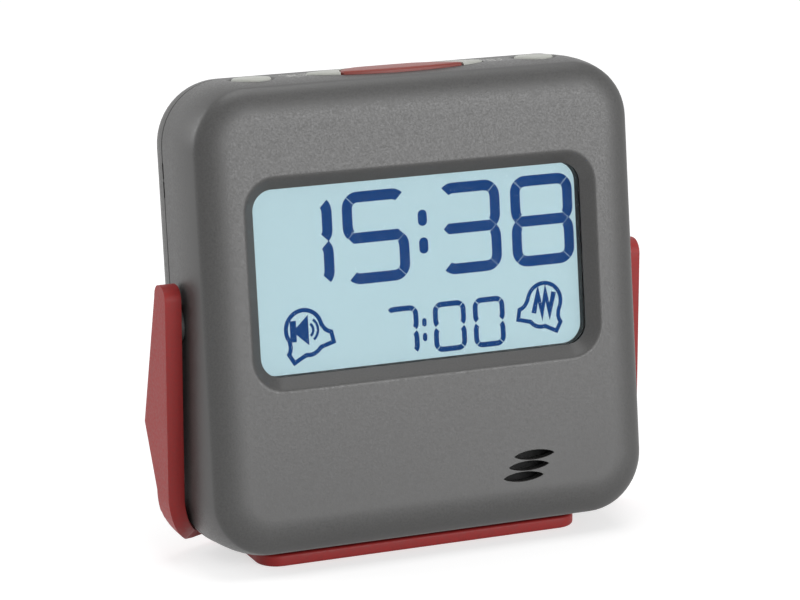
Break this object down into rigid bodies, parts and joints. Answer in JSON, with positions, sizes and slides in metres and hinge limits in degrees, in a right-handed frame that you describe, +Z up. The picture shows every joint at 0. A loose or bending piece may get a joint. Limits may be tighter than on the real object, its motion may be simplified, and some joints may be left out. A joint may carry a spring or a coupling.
{
  "type": "digital alarm clock",
  "caption": "Bedside digital alarm clock with a soft-cornered case that tilts back in a yoke stand, a backlit display, a snooze key on top and a loudspeaker behind slots.",
  "frame": {"origin": "middle of the box round the clock, on the table under it", "axes": "+X to the viewer's right across the display, +Y to the back, +Z up"},
  "size_m": [0.0926, 0.0364, 0.0867],
  "materials": {
    "stand_red": "fine matte",
    "case_grey": "fine satin grain",
    "key_grey": "satin",
    "clear": "clear",
    "display_blue": "smooth",
    "white_plastic": "satin",
    "black_rubber": "matte",
    "board_green": "coated",
    "black_plastic": "matte",
    "steel": "plain",
    "capacitor_sleeve": "smooth sleeve",
    "brass": "plain",
    "cell_wrap": "smooth wrap"
  },
  "bodies": {
    "stand": {"stand_yoke": "stand_red", "friction_washers": "case_grey", "pivot_clips": "steel", "pivot_screws": "steel"},
    "case": {"front_shell": "case_grey", "rear_shell": "case_grey", "window": "clear", "battery_upper": "cell_wrap", "battery_lower": "cell_wrap", "case_screws": "steel", "display_gasket": "black_rubber", "display_glass": "display_blue", "display_frame": "white_plastic", "light_guide": "white_plastic", "backlight_leds": "white_plastic", "contact_strips": "black_rubber", "main_board": "board_green", "clock_chip": "black_plastic", "quartz_crystal": "steel", "supply_capacitor": "capacitor_sleeve", "board_screws": "steel", "key_board": "board_green", "key_switches": "black_plastic", "key_board_screws": "steel", "set_switches": "black_plastic", "speaker_gasket": "black_rubber", "speaker_basket": "steel", "speaker_cone": "black_plastic", "speaker_magnet": "steel", "motor_can": "steel", "motor_boot": "black_rubber", "motor_strap": "steel", "strap_screws": "steel", "link_contact": "brass", "plus_contact": "brass", "minus_contact": "brass"},
    "snooze": {"snooze_key": "key_grey", "snooze_insert": "stand_red"},
    "sound": {"sound_key": "key_grey"},
    "vibration": {"vibration_key": "key_grey"},
    "time": {"time_key": "key_grey"},
    "alarm": {"alarm_key": "key_grey"},
    "up": {"up_key": "key_grey"},
    "down": {"down_key": "key_grey"},
    "door": {"battery_door": "case_grey"},
    "rotor": {"motor_rotor": "brass"}
  },
  "joints": [
    {"name": "case_tilt", "type": "hinge", "parent": "stand", "child": "case", "pos_m": [0, -0.00119, 0.04367], "axis": [-1, 0, 0], "range_deg": [0, 30]},
    {"name": "snooze_press", "type": "slide", "parent": "case", "child": "snooze", "axis": [0, -0.1305, -0.9914], "range_m": [0, 0.0004], "stiffness_N_per_m": 1500, "springref_m": -0.0002},
    {"name": "sound_press", "type": "slide", "parent": "case", "child": "sound", "axis": [0, -0.1305, -0.9914], "range_m": [0, 0.0004], "stiffness_N_per_m": 1500, "springref_m": -0.0002},
    {"name": "vibration_press", "type": "slide", "parent": "case", "child": "vibration", "axis": [0, -0.1305, -0.9914], "range_m": [0, 0.0004], "stiffness_N_per_m": 1500, "springref_m": -0.0002},
    {"name": "time_press", "type": "slide", "parent": "case", "child": "time", "axis": [0, -0.9914, 0.1305], "range_m": [0, 0.0004], "stiffness_N_per_m": 1500, "springref_m": -0.0002},
    {"name": "alarm_press", "type": "slide", "parent": "case", "child": "alarm", "axis": [0, -0.9914, 0.1305], "range_m": [0, 0.0004], "stiffness_N_per_m": 1500, "springref_m": -0.0002},
    {"name": "up_press", "type": "slide", "parent": "case", "child": "up", "axis": [0, -0.9914, 0.1305], "range_m": [0, 0.0004], "stiffness_N_per_m": 1500, "springref_m": -0.0002},
    {"name": "down_press", "type": "slide", "parent": "case", "child": "down", "axis": [0, -0.9914, 0.1305], "range_m": [0, 0.0004], "stiffness_N_per_m": 1500, "springref_m": -0.0002},
    {"name": "door_swing", "type": "hinge", "parent": "case", "child": "door", "pos_m": [0, 0.00613, 0.01003], "axis": [-1, 0, 0], "range_deg": [0, 70]},
    {"name": "rotor_spin", "type": "hinge", "parent": "case", "child": "rotor", "pos_m": [-0.019, -0.01271, 0.01513], "axis": [1, 0, 0], "continuous": true}
  ]
}
